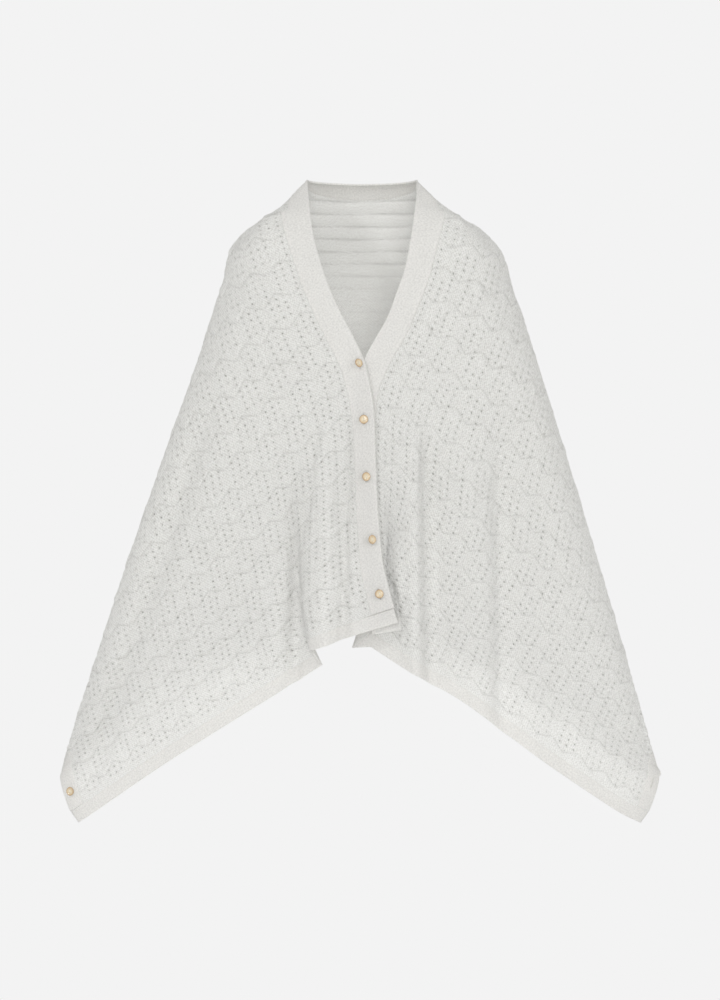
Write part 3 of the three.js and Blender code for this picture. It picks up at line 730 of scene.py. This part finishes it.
def make_lace():
    """The lace as one grid. Each cell has six lines each way, and where an eyelet is, the square
    in the middle of its cell is drawn in to a circle and its middle point sunk by the cloth's
    thickness: a small funnel, closed by the yarn that crosses it. Eyelets differ a little in
    place, width and depth, as hand-pulled lace does."""
    start, end = FRONT_BAND, WIDTH - EDGE_BAND
    long = HALF_LENGTH - HEM_BAND
    step_t = (end - start) / EYELETS_ACROSS
    step_s = 2 * long / EYELETS_ALONG
    ht = HOLE_RADIUS / step_t
    hs = HOLE_RADIUS / step_s
    shares_t = [0, (0.5 - ht) / 2, 0.5 - ht, 0.5, 0.5 + ht, 0.5 + ht + (0.5 - ht) / 2]
    shares_s = [0, (0.5 - hs) / 2, 0.5 - hs, 0.5, 0.5 + hs, 0.5 + hs + (0.5 - hs) / 2]
    s_lines = lines_in_cells(-long, long, EYELETS_ALONG, shares_s)
    t_lines = lines_in_cells(start, end, EYELETS_ACROSS, shares_t)
    s, t = np.meshgrid(s_lines, t_lines, indexing="ij")
    cells = len(shares_t)
    row = np.minimum(np.arange(len(s_lines)) // cells, EYELETS_ALONG - 1)
    column = np.minimum(np.arange(len(t_lines)) // cells, EYELETS_ACROSS - 1)
    mid_s = -long + (row + 0.5) * step_s
    mid_t = start + (column + 0.5) * step_t
    cs, ct = np.meshgrid(mid_s, mid_t, indexing="ij")
    rng = np.random.default_rng(5)
    jitter = rng.uniform(-0.5, 0.5, (2, EYELETS_ALONG, EYELETS_ACROSS))
    size = rng.uniform(0.72, 1.08, (EYELETS_ALONG, EYELETS_ACROSS))
    depth = HOLE_DEPTH * rng.uniform(0.55, 1.15, (EYELETS_ALONG, EYELETS_ACROSS))
    open_cell = has_eyelet(
        -long + (np.arange(EYELETS_ALONG)[:, None] + 0.5) * step_s,
        start + (np.arange(EYELETS_ACROSS)[None, :] + 0.5) * step_t,
    )
    cell = np.ix_(row, column)
    opened = open_cell[cell]
    from_s = s - cs
    from_t = t - ct
    far = np.maximum(np.abs(from_s), np.abs(from_t))
    ring = opened & (far < HOLE_RADIUS * 1.05)
    corner = (np.abs(from_s) > 0.5) & (np.abs(from_t) > 0.5)
    scale = np.where(ring, size[cell] * np.where(corner, 0.76, 1.0), 1.0)
    s = np.where(ring, cs + from_s * scale + jitter[0][cell], s)
    t = np.where(ring, ct + from_t * scale + jitter[1][cell], t)
    height = lace_height(s, t)
    reach = np.hypot(from_s, from_t)
    lip = 0.3 * np.exp(-(((reach - 3.1) / 0.9) ** 2))
    inside, down, up = hexagon_fields(s, t)[:3]
    ground = ease((inside - 2) / 3) * (1 - welt_zone(s, t))
    knots = -np.cos(2 * math.pi * from_t / step_t) - np.cos(2 * math.pi * from_s / step_s)
    height += 0.28 * knots * ground
    # Painted shade, 0 to 1: the colour of each eyelet, of a line just inside one zigzag side of
    # each hexagon and of the grooves between the welts is darkened towards the shadow colour
    painted_shade = np.where(opened, 0.75 * np.exp(-((reach / 1.2) ** 2)) * depth[cell] / HOLE_DEPTH, 0)
    arch_shadow = 0.2 * np.exp(-(((up - 2.6) / 1.1) ** 2)) * (1 - welt_zone(s, t))
    phase, fade = welt_phase(s, t)
    welt_groove_shade = 0.22 * np.exp(-((np.sin(math.pi * phase) / 0.2) ** 2)) * fade * welt_zone(s, t)
    painted_shade = np.clip(painted_shade + arch_shadow * ease((inside - 0.5) / 2) + welt_groove_shade, 0, 1)
    funnel = depth[cell] * (np.exp(-((reach / 1.0) ** 2)) + 0.3 * np.exp(-((reach / 2.1) ** 4)))
    height += np.where(opened, lip - funnel, 0)
    margin = np.minimum(np.minimum(t - start, end - t), long - np.abs(s))
    height = 0.2 + height * ease(margin / 4)
    points = on_cloth(s, t, height)
    normals = surface_normals(points)
    quads, i, j = grid_faces(len(s_lines), len(t_lines))
    fold_t = np.where(
        np.abs(mid_s) > EXTREME_S, WIDTH, through(FOLD_S, FOLD_T, np.abs(mid_s))
    )
    fold_t = np.where(np.abs(mid_s) < NECK_S, -1, fold_t)
    on_front = mid_t[j] < fold_t[i]
    right = mid_s[i] < 0
    flat_points = points.reshape(-1, 3)
    flat_normals = normals.reshape(-1, 3)
    flat_painted_shade = painted_shade.reshape(-1)
    uv = np.stack([s, t], axis=-1).reshape(-1, 2) * MM
    parts = {
        "lace_front_right": (on_front & right, "front_panel_right"),
        "lace_front_left": (on_front & ~right, "front_panel_left"),
        "lace_back_right": (~on_front & right, "back_panel"),
        "lace_back_left": (~on_front & ~right, "back_panel"),
    }
    for name, (mask, cad_node) in parts.items():
        obj = make_mesh(name, flat_points, quads[mask], uv, flat_normals, LACE_WOOL,
                        flat_painted_shade)
        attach(obj, "root")
        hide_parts(cad_node)


# Bands


def band_profile(inner_edge, free_edge, wall):
    """A band's section as (t, height) pairs, from where it joins the cloth over the outside, round
    the free edge, which is a slightly fuller bead, and back along the inside. The side where it
    joins is drawn in where it is picked up."""
    toward = 1 if free_edge > inner_edge else -1
    width = abs(free_edge - inner_edge)
    r = wall / 2
    flat = np.linspace(6.5, width - r - 2.4, 8)
    face = np.concatenate([[0.25, 0.9, 2.2, 4.0], flat, [width - r - 1.2, width - r - 0.3]])
    rise = np.concatenate([[0.25, 0.75, 0.95, 1.0], np.ones(8), [1.12, 1.18]])
    angles = np.linspace(math.pi / 2, -math.pi / 2, 8)
    round_t = (width - r) + r * np.cos(angles)
    round_h = 1.12 * r * np.sin(angles)
    t = np.concatenate([face, round_t, face[::-1]])
    h = np.concatenate([rise * r, round_h, -rise[::-1] * r])
    return inner_edge + toward * t, h


def puckers(s, t):
    """Height of the puckers of the lapping band: shallow ripples that fade away from each
    button, and a slow unevenness along the edge."""
    total = 0.22 * np.sin(s / 17 + 0.6) * np.sin(s / 41)
    for place, inset, turned in FRONT_BUTTONS:
        off = np.abs(s + place)
        near = np.exp(-((off / 24) ** 2)) * np.exp(-(((t - inset) / 13) ** 2))
        total = total + 0.75 * near * np.cos((off - 9) / 4.6)
    return total


def make_band(name, s_lines, profile, cad_node):
    """A band along the long edge: its section laid on the cloth at each s, with puckers."""
    t, h = profile
    s = np.repeat(s_lines[:, None], len(t), axis=1)
    tt = np.repeat(t[None, :], len(s_lines), axis=0)
    height = h[None, :] + np.where(tt < FRONT_BAND - 3, puckers(s, tt), 0)
    points = on_cloth(s, tt, height).reshape(-1, 3)
    quads = outward(points, tube_faces(len(s_lines), len(t)))
    uv = np.stack([s, tt], axis=-1).reshape(-1, 2) * MM
    obj = make_mesh(name, points, quads, uv, None, BAND_WOOL)
    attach(obj, "root")
    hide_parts(cad_node)
    return obj


def frame_at(s, t, height=0.0):
    """A place on the cloth in metres, and its axes: along s, across, and outwards."""
    near = np.array([s - 3, s, s + 3], float)
    line = on_cloth(near, np.full(3, float(t)), np.full(3, float(height)))
    out = read_net(NET_NORMALS, near[1:2], np.array([float(t)]))[0]
    out = out / np.linalg.norm(out)
    across = np.cross(out, line[2] - line[0])
    across = across / np.linalg.norm(across)
    return line[1], np.stack([np.cross(across, out), across, out])


def ring_mesh(rings):
    """Faces of a stack of closed rings, given as an array (rings, points, 3)."""
    return grid_faces(rings.shape[0], rings.shape[1], closed=True)[0]


def make_prism(name, outline, low, high, origin, axes):
    """A closed prism over an outline of (x, y) pairs in millimetres, to cut with."""
    n = len(outline)
    flat = np.concatenate([outline, outline])
    z = np.repeat([low, high], n)
    points = origin + np.column_stack([flat, z]) @ axes * MM
    k = np.arange(n)
    sides = np.stack([k, (k + 1) % n, n + (k + 1) % n, n + k], axis=-1).tolist()
    mesh = bpy.data.meshes.new(name)
    faces = sides + [k[::-1].tolist(), (n + k).tolist()]
    mesh.from_pydata(points.tolist(), [], faces)
    obj = bpy.data.objects.new(name, mesh)
    bpy.context.scene.collection.objects.link(obj)
    return obj


def cut_with(obj, cutters):
    """Cuts the cutters out of a piece for good, and removes them."""
    for cutter in cutters:
        step = obj.modifiers.new("cut", "BOOLEAN")
        step.operation = "DIFFERENCE"
        step.solver = "EXACT"
        step.object = cutter
    bpy.context.view_layer.update()
    graph = bpy.context.evaluated_depsgraph_get()
    old = obj.data
    obj.data = bpy.data.meshes.new_from_object(obj.evaluated_get(graph))
    obj.modifiers.clear()
    name = old.name
    bpy.data.meshes.remove(old)
    obj.data.name = name
    for cutter in cutters:
        mesh = cutter.data
        bpy.data.objects.remove(cutter)
        bpy.data.meshes.remove(mesh)


def slit_outline(length, width, count=28):
    """A lens: pointed-oval outline of a buttonhole, as (x, y) pairs."""
    turn = np.linspace(0, 2 * math.pi, count, endpoint=False)
    x = length / 2 * np.cos(turn)
    return np.stack([x, width / 2 * np.sin(turn) * np.abs(np.sin(turn)) ** 0.3], axis=-1)


def cut_slit(band, s, t):
    """Cuts a buttonhole through a band."""
    origin, axes = frame_at(s, t)
    cut_with(band, [make_prism("slit", slit_outline(SLIT_LENGTH, 2.0), -4, 4, origin, axes)])


def make_rim(name, s, t, cad_node):
    """The stitched lip of a buttonhole: a thin round cord laid round it on the band, with the
    stitches as small even bumps along it."""
    count = 96
    path = slit_outline(SLIT_LENGTH + 1.6, 3.6, count)
    origin, axes = frame_at(s, t)
    flow = np.roll(path, -1, axis=0) - np.roll(path, 1, axis=0)
    flow /= np.linalg.norm(flow, axis=1, keepdims=True)
    aside = np.stack([flow[:, 1], -flow[:, 0]], axis=-1)
    turn = np.linspace(0, 2 * math.pi, 10, endpoint=False)
    bump = 0.62 * (1 + 0.16 * np.sin(np.arange(count + 1) * 2 * math.pi * 30 / count))
    loop = np.append(np.arange(count), 0)
    wide = bump[:, None] * np.cos(turn)[None, :]
    x = path[loop, 0][:, None] + aside[loop, 0][:, None] * wide
    y = path[loop, 1][:, None] + aside[loop, 1][:, None] * wide
    z = BAND_WALL / 2 + 0.05 + 0.75 * bump[:, None] * np.sin(turn)[None, :]
    points = origin + np.stack([x, y, z], axis=-1).reshape(-1, 3) @ axes * MM
    quads = outward(points - origin, grid_faces(count + 1, len(turn), closed=True)[0])
    uv = np.stack([x, y], axis=-1).reshape(-1, 2) * MM
    obj = make_mesh(name, points, quads, uv, None, BAND_WOOL)
    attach(obj, "root")
    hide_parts(cad_node)
    return obj


def s_range(a, b, step=2.0):
    """Places from a to b about one step apart."""
    return np.linspace(a, b, max(int(abs(b - a) / step), 2) + 1)


def make_bands():
    """The neck band, both button bands with their buttonholes, and the outer band."""
    long = HALF_LENGTH - HEM_BAND - 0.3
    front = band_profile(FRONT_BAND, 0.0, BAND_WALL)
    edge = band_profile(WIDTH - EDGE_BAND, WIDTH, BAND_WALL)
    neck_end = NECK_S + 8
    make_band("band_neck", s_range(-neck_end, neck_end), front, "neck_band")
    right = make_band("band_front_right", s_range(-long, -neck_end), front,
                      "front_band_right")
    for number, (place, inset, turned) in enumerate(FRONT_BUTTONS, 1):
        cut_slit(right, -place, inset)
        make_rim(f"buttonhole_rim_{number}", -place, inset, "front_band_right")
    make_band("band_front_left", s_range(neck_end, long), front, "front_band_left")
    turn_s = EXTREME_S - 12
    make_band("band_edge_back", s_range(-turn_s, turn_s), edge, "edge_band_back")
    make_band("band_edge_right", s_range(-long, -turn_s), edge, "edge_band_right")
    left = make_band("band_edge_left", s_range(turn_s, long), edge, "edge_band_left")
    cut_slit(left, CORNER_SLIT_S, WIDTH - CORNER_INSET)
    make_rim("buttonhole_rim_corner", CORNER_SLIT_S, WIDTH - CORNER_INSET, "edge_band_left")


def hem_lines():
    """Lines along the hem, closer together where its folds turn."""
    return np.unique(np.concatenate([np.linspace(1.2, 240, 160), np.linspace(240, 638.8, 130)]))


def make_hem(name, side, cad_node):
    """A hem band: the same section, but across s, laid along t. Its two ends are rounded."""
    start = HALF_LENGTH - HEM_BAND
    offs, h = band_profile(start, HALF_LENGTH, HEM_WALL)
    t = hem_lines()
    ends = np.minimum(t, WIDTH - t)
    taper = quarter(ends / 2.4)
    s = side * np.repeat(offs[None, :], len(t), axis=0)
    tt = np.repeat(t[:, None], len(offs), axis=1)
    height = h[None, :] * np.maximum(taper, 0.25)[:, None]
    points = on_cloth(s, tt, height).reshape(-1, 3)
    quads = outward(points, tube_faces(len(t), len(offs)))
    uv = np.stack([tt, s], axis=-1).reshape(-1, 2) * MM
    obj = make_mesh(name, points, quads, uv, None, BAND_WOOL)
    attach(obj, "root")
    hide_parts(cad_node)
    return obj


# Buttons


def turned(axes, degrees):
    """Axes turned about their first one."""
    c, d = math.cos(math.radians(degrees)), math.sin(math.radians(degrees))
    return np.stack([axes[0], c * axes[1] + d * axes[2], -d * axes[1] + c * axes[2]])


def make_button(name, s, t, degrees, cad_node):
    """A two-hole shell button: a turned disc with a rounded rim and a dished middle. Its middle
    is raised so that its lower rim just clears the band, and its thread reaches down to it."""
    r, h = BUTTON_RADIUS, BUTTON_THICKNESS
    profile = np.array([
        (0.0, 0.0), (2.0, 0.0), (4.2, 0.05), (r - 1.0, 0.18), (r - 0.35, 0.5), (r - 0.06, 0.9),
        (r, 1.2), (r - 0.08, 1.55), (r - 0.3, 1.9), (r - 0.7, 2.12), (r - 1.1, h), (r - 1.5, 2.1),
        (r - 1.9, 1.85), (r - 2.4, 1.62), (r - 3.2, 1.5), (2.0, 1.45), (0.9, 1.44), (0.0, 1.44),
    ])
    lift = BAND_WALL / 2 + 0.35 + r * abs(math.sin(math.radians(degrees)))
    origin, flat_axes = frame_at(s, t)
    origin = origin + flat_axes[2] * lift * MM
    axes = turned(flat_axes, degrees)
    turns = np.linspace(0, 2 * math.pi, 56, endpoint=False)
    radius = np.maximum(profile[:, 0], 0.01)[:, None]
    rings = np.stack([
        radius * np.cos(turns), radius * np.sin(turns),
        np.repeat(profile[:, 1][:, None], len(turns), axis=1),
    ], axis=-1)
    local = rings.reshape(-1, 3)
    points = origin + local @ axes * MM
    quads = outward(local, ring_mesh(rings))
    n = len(turns)
    uv = local[:, :2] * MM
    obj = make_mesh(name, points, quads, uv, None, SHELL)
    work = bmesh.new()
    work.from_mesh(obj.data)
    bmesh.ops.holes_fill(work, edges=[e for e in work.edges if e.is_boundary], sides=n + 1)
    bmesh.ops.recalc_face_normals(work, faces=work.faces)
    work.to_mesh(obj.data)
    work.free()
    circle = np.linspace(0, 2 * math.pi, 20, endpoint=False)
    hole = 0.8 * np.stack([np.cos(circle), np.sin(circle)], axis=-1)
    holes = [make_prism("hole", hole + [side * 1.5, 0], -2, 5, origin, axes) for side in (-1, 1)]
    cut_with(obj, holes)
    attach(obj, "root")
    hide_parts(cad_node)
    make_thread(name.replace("button", "thread"), origin, axes, flat_axes, lift, cad_node)


def make_thread(name, origin, axes, flat_axes, lift, cad_node):
    """Sewing thread: two strands over the bar between the holes, then down to the band."""
    u = np.linspace(0, 1, 25)
    over = np.stack([1.5 * np.cos(math.pi * u), 0 * u, 1.42 + 0.55 * np.sin(math.pi * u)], -1)
    legs = np.linspace(0, 1, 6)[1:]
    foot = -flat_axes[2] @ axes.T * (lift - BAND_WALL / 2 + 0.8)
    down = over[-1] + (foot - over[-1]) * legs[:, None]
    up = (over[0] + (foot - over[0]) * legs[:, None])[::-1]
    path = np.concatenate([up, over, down])
    path[:, 0] *= np.where(path[:, 2] < 1.3, 0.75, 1.0)
    turns = np.linspace(0, 2 * math.pi, 8, endpoint=False)
    flow = np.gradient(path, axis=0)
    flow /= np.maximum(np.linalg.norm(flow, axis=1, keepdims=True), 1e-9)
    side = np.array([0.0, 1.0, 0.0])
    upward = np.cross(flow, side)
    upward /= np.maximum(np.linalg.norm(upward, axis=1, keepdims=True), 1e-9)
    wide = 1.25 * np.cos(turns)[None, :, None] * side
    high = np.sin(turns)[None, :, None] * upward[:, None, :]
    rings = path[:, None, :] + THREAD_RADIUS * (wide + high)
    points = origin + rings.reshape(-1, 3) @ axes * MM
    quads = outward(points - origin, tube_faces(len(path), len(turns)))
    obj = make_mesh(name, points, quads, rings.reshape(-1, 3)[:, :2] * MM, None, THREAD)
    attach(obj, "root")
    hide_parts(cad_node)


make_lace()
make_bands()
for number, (place, inset, degrees) in enumerate(FRONT_BUTTONS, 1):
    make_button(f"shell_button_{number}", -place, inset, degrees, f"button_{number}")
make_button("shell_button_corner", -CORNER_BUTTON_S, WIDTH - CORNER_INSET, 4, "corner_button")
make_hem("band_hem_right", -1, "hem_band_right")
make_hem("band_hem_left", 1, "hem_band_left")


# Camera, light and floor

GARMENT_MIDDLE = (0, 0, -0.45)
FLOOR_Z = -1.6
BACKDROP = 1.0
AMBIENT = 0.8

# Soft lamps, all turned to the garment's middle: name, place in metres, width, watts
LIGHTS = [
    ("front", (0.4, -5.5, -0.5), 1.6, 98),
    ("back", (0.7, 4.2, 0.9), 1.2, 56),
    ("left", (-2.2, -2.8, 1.3), 0.5, 30),
    ("right", (2.6, -2.2, 0.6), 0.8, 14),
]


def make_camera():
    """A level camera straight before the garment, at the height of its middle."""
    data = bpy.data.cameras.new("camera")
    data.lens = 108.0
    data.sensor_width = 36.0
    data.clip_end = 100.0
    cam = bpy.data.objects.new("camera", data)
    cam.location = (-0.003, -4.5, -0.48)
    cam.rotation_euler = (math.pi / 2, 0, 0)
    bpy.context.scene.collection.objects.link(cam)
    bpy.context.scene.camera = cam


def area_light(name, place, size, power):
    data = bpy.data.lights.new(name, "AREA")
    data.shape = "DISK"
    data.size = size
    data.energy = power
    obj = bpy.data.objects.new(name, data)
    obj.location = place
    way = Vector(GARMENT_MIDDLE) - Vector(place)
    obj.rotation_euler = way.to_track_quat("-Z", "Y").to_euler()
    obj.visible_camera = False
    bpy.context.scene.collection.objects.link(obj)


def make_studio():
    """A plain pale room: the backdrop is brighter to the camera than as light."""
    world = bpy.data.worlds.new("studio")
    bpy.context.scene.world = world
    world.use_nodes = True
    tree = world.node_tree
    back = tree.nodes["Background"]
    back.inputs[0].default_value = linear("f3f3f3")
    seen = node(tree, "ShaderNodeLightPath").outputs["Is Camera Ray"]
    power = node(
        tree, "ShaderNodeMapRange", {"Value": seen, "To Min": AMBIENT, "To Max": BACKDROP}
    )
    tree.links.new(power.outputs[0], back.inputs[1])
    for name, place, size, power in LIGHTS:
        area_light(name, place, size, power)
    bpy.ops.mesh.primitive_circle_add(
        vertices=96, radius=2, fill_type="NGON", location=(0, 0, FLOOR_Z)
    )
    floor = bpy.context.active_object
    floor.name = "floor"
    floor.data.materials.append(plain("pale_floor", "f3f3f3", 0.9))


make_camera()
make_studio()
bpy.context.scene.view_settings.view_transform = "Standard"
